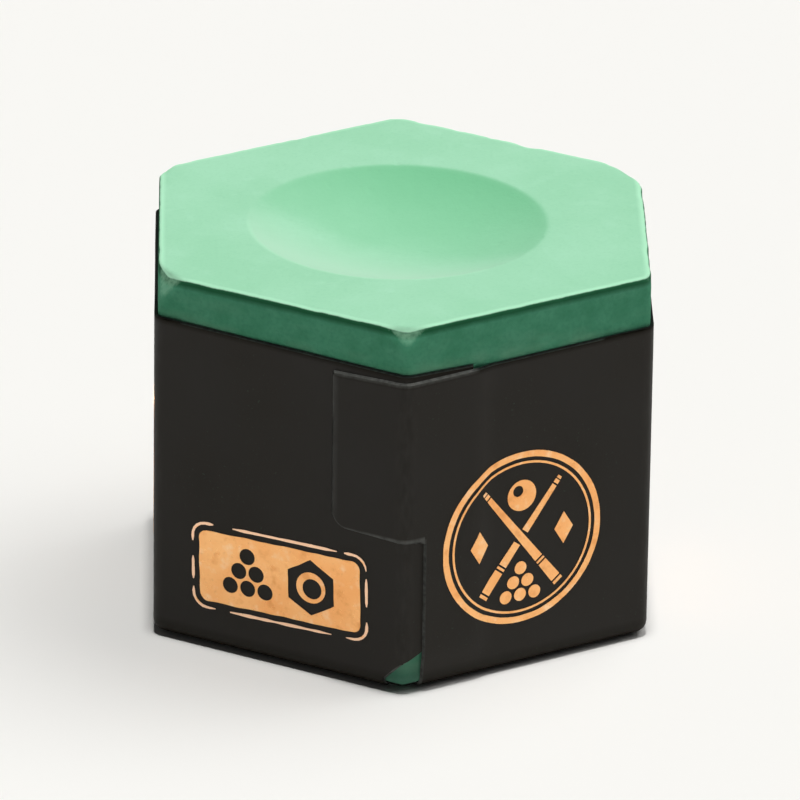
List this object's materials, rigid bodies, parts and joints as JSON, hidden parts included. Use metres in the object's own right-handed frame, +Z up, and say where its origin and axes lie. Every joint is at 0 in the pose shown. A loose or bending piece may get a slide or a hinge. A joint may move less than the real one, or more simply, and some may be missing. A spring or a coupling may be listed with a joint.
{
  "type": "cue chalk",
  "caption": "Hexagonal block of green billiard chalk with a shallow round dish on top, in a black paper label with copper foil marks.",
  "frame": {"origin": "on the ground under the block's centre", "axes": "+Z up along the block's axis, towards the dish; the upright edge where the label laps faces -Y, and the flat sides face +X and -X"},
  "size_m": [0.0284, 0.0328, 0.0224],
  "materials": {
    "chalk": "matte",
    "label_paper": "matte",
    "copper_foil": "satin"
  },
  "bodies": {
    "root": {"chalk_block": "chalk", "side_label": "label_paper", "base_label": "label_paper", "foil_plaque_left_front": "copper_foil", "foil_plaque_right": "copper_foil", "foil_plaque_left_back": "copper_foil", "foil_crest_right_front": "copper_foil", "foil_crest_right_back": "copper_foil", "foil_crest_left": "copper_foil"}
  },
  "joints": []
}
